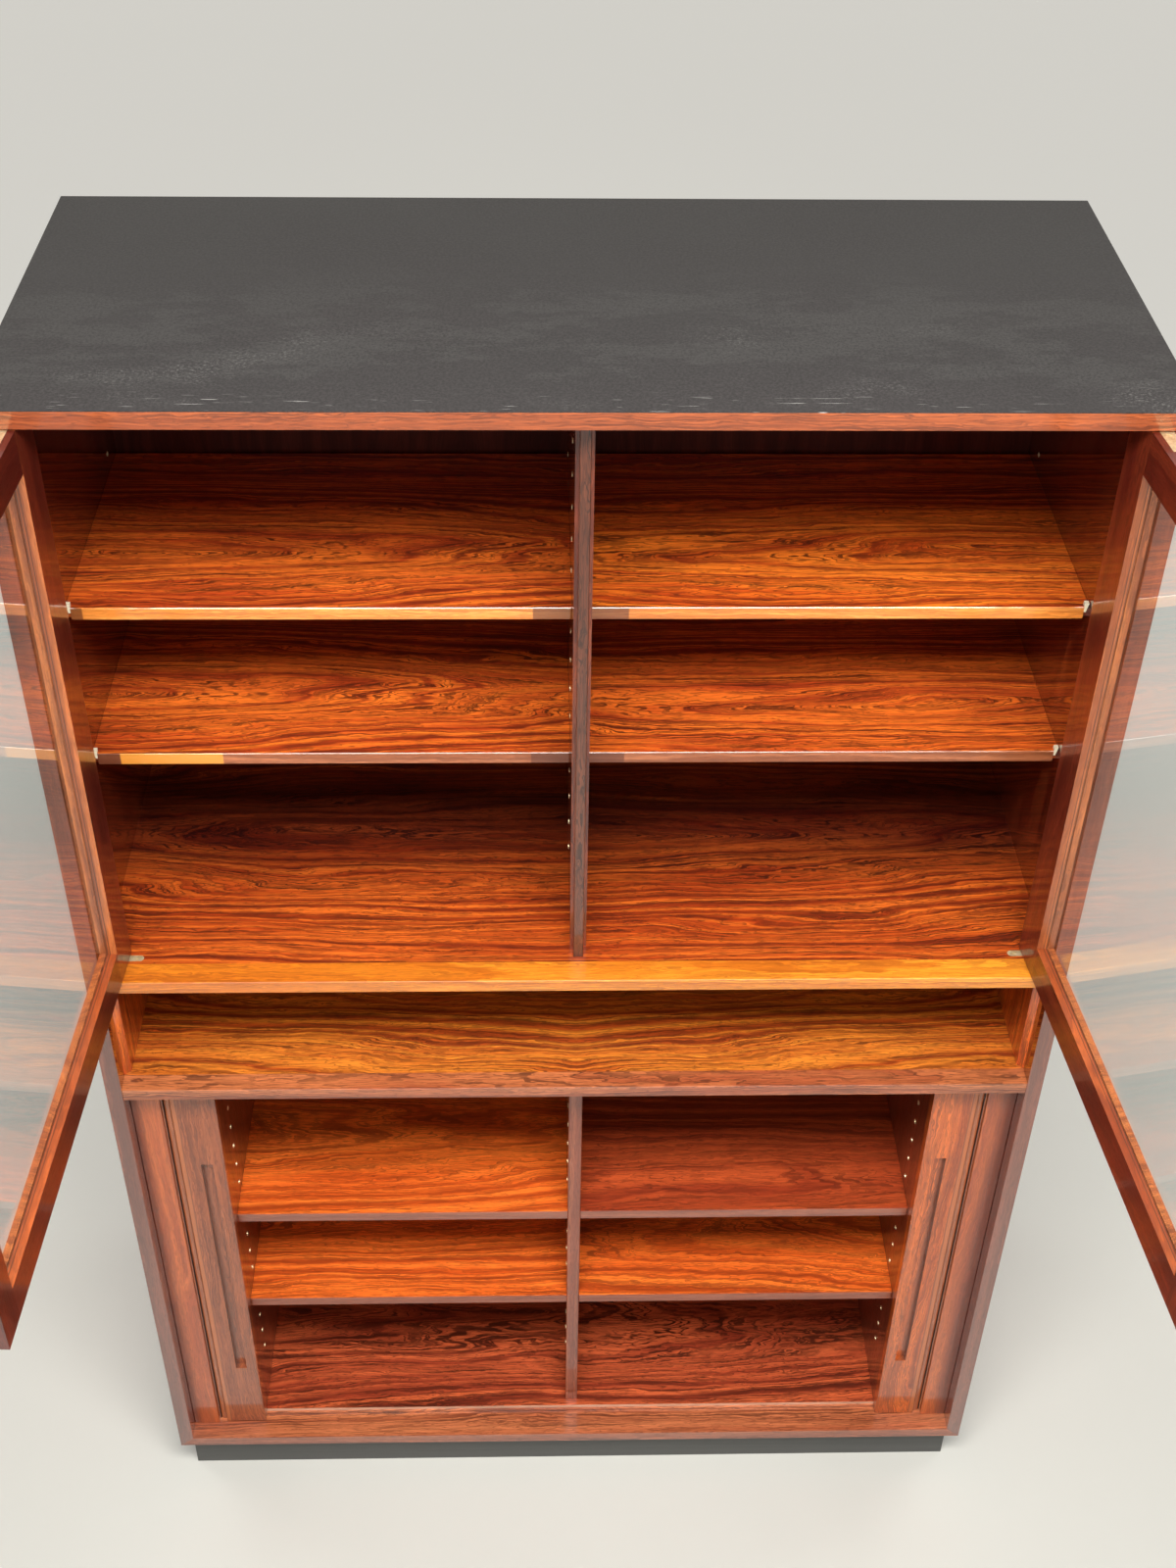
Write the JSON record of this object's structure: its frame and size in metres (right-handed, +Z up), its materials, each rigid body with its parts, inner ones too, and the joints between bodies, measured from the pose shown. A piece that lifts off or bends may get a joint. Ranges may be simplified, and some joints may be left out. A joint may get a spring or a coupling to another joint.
{
  "type": "tambour cabinet",
  "caption": "Tall rosewood cabinet: glazed hinged doors over an open niche and a lower case with sliding tambour curtains, on a black plinth.",
  "frame": {"origin": "on the floor, under the middle of the case's width and depth", "axes": "+Z up, +X to the right as seen from the front, +Y from the front to the back"},
  "size_m": [1.2288, 1.0301, 1.845],
  "materials": {
    "rosewood_upright": "glossy lacquered veneer, grain upright",
    "rosewood_flat": "glossy lacquered veneer, grain across",
    "rosewood_solid": "lacquered solid lipping",
    "back_veneer": "satin veneer",
    "black_plinth": "black paint, satin",
    "black_laminate": "worn satin black",
    "brass": "aged polished brass",
    "clear_glass": "clear float glass",
    "canvas": "glued linen canvas",
    "ivory_plastic": "aged ivory plastic"
  },
  "bodies": {
    "cabinet": {"bottom_board": "rosewood_flat", "hinge_case_plates": "brass", "left_front_post": "rosewood_upright", "left_niche_liner": "rosewood_upright", "left_plinth_end": "black_plinth", "left_pocket_panel": "rosewood_upright", "left_side_panel": "rosewood_upright", "left_tambour_canvas": "canvas", "left_tambour_slats": "rosewood_upright", "lower_back_panel": "back_veneer", "lower_divider": "rosewood_upright", "lower_floor_panel": "rosewood_flat", "lower_shelf_left_high": "rosewood_flat", "lower_shelf_left_low": "rosewood_flat", "lower_shelf_right_high": "rosewood_flat", "lower_shelf_right_low": "rosewood_flat", "niche_floor": "rosewood_flat", "niche_floor_lipping": "rosewood_solid", "plinth_back": "black_plinth", "plinth_brace": "black_plinth", "plinth_front": "black_plinth", "right_front_post": "rosewood_upright", "right_niche_liner": "rosewood_upright", "right_plinth_end": "black_plinth", "right_pocket_panel": "rosewood_upright", "right_side_panel": "rosewood_upright", "right_tambour_canvas": "canvas", "right_tambour_slats": "rosewood_upright", "shelf_end_clips": "ivory_plastic", "shelf_pins": "brass", "top_board": "rosewood_flat", "top_laminate": "black_laminate", "upper_back_panel": "back_veneer", "upper_divider": "rosewood_upright", "upper_divider_nosing": "rosewood_solid", "upper_floor": "rosewood_flat", "upper_floor_lipping": "rosewood_solid", "upper_shelf_left_high": "rosewood_flat", "upper_shelf_left_low": "rosewood_flat", "upper_shelf_right_high": "rosewood_flat", "upper_shelf_right_low": "rosewood_flat"},
    "left_door": {"left_door_beads": "rosewood_upright", "left_door_bottom_rail": "rosewood_upright", "left_door_glass": "clear_glass", "left_door_hinge_leaves": "brass", "left_door_hinge_stile": "rosewood_upright", "left_door_meeting_stile": "rosewood_upright", "left_door_top_rail": "rosewood_upright"},
    "right_door": {"right_door_beads": "rosewood_upright", "right_door_bottom_rail": "rosewood_upright", "right_door_glass": "clear_glass", "right_door_hinge_leaves": "brass", "right_door_hinge_stile": "rosewood_upright", "right_door_meeting_stile": "rosewood_upright", "right_door_top_rail": "rosewood_upright"},
    "left_tambour": {"left_tambour_first_slat": "rosewood_upright", "left_tambour_lead": "rosewood_upright"},
    "right_tambour": {"right_tambour_first_slat": "rosewood_upright", "right_tambour_lead": "rosewood_upright"}
  },
  "joints": [
    {"name": "left_door_hinge", "type": "hinge", "parent": "cabinet", "child": "left_door", "pos_m": [-0.5665, -0.214, 1.072], "axis": [0, 0, -1], "range_deg": [-93.1, 4.5]},
    {"name": "right_door_hinge", "type": "hinge", "parent": "cabinet", "child": "right_door", "pos_m": [0.5665, -0.214, 1.072], "axis": [0, 0, 1], "range_deg": [-95.3, 2.3]},
    {"name": "left_tambour_slide", "type": "slide", "parent": "cabinet", "child": "left_tambour", "axis": [1, 0, 0], "range_m": [0, 0.471], "deforming": ["left_tambour_slats", "left_tambour_canvas"]},
    {"name": "right_tambour_slide", "type": "slide", "parent": "cabinet", "child": "right_tambour", "axis": [-1, 0, 0], "range_m": [0, 0.471], "deforming": ["right_tambour_slats", "right_tambour_canvas"]}
  ]
}
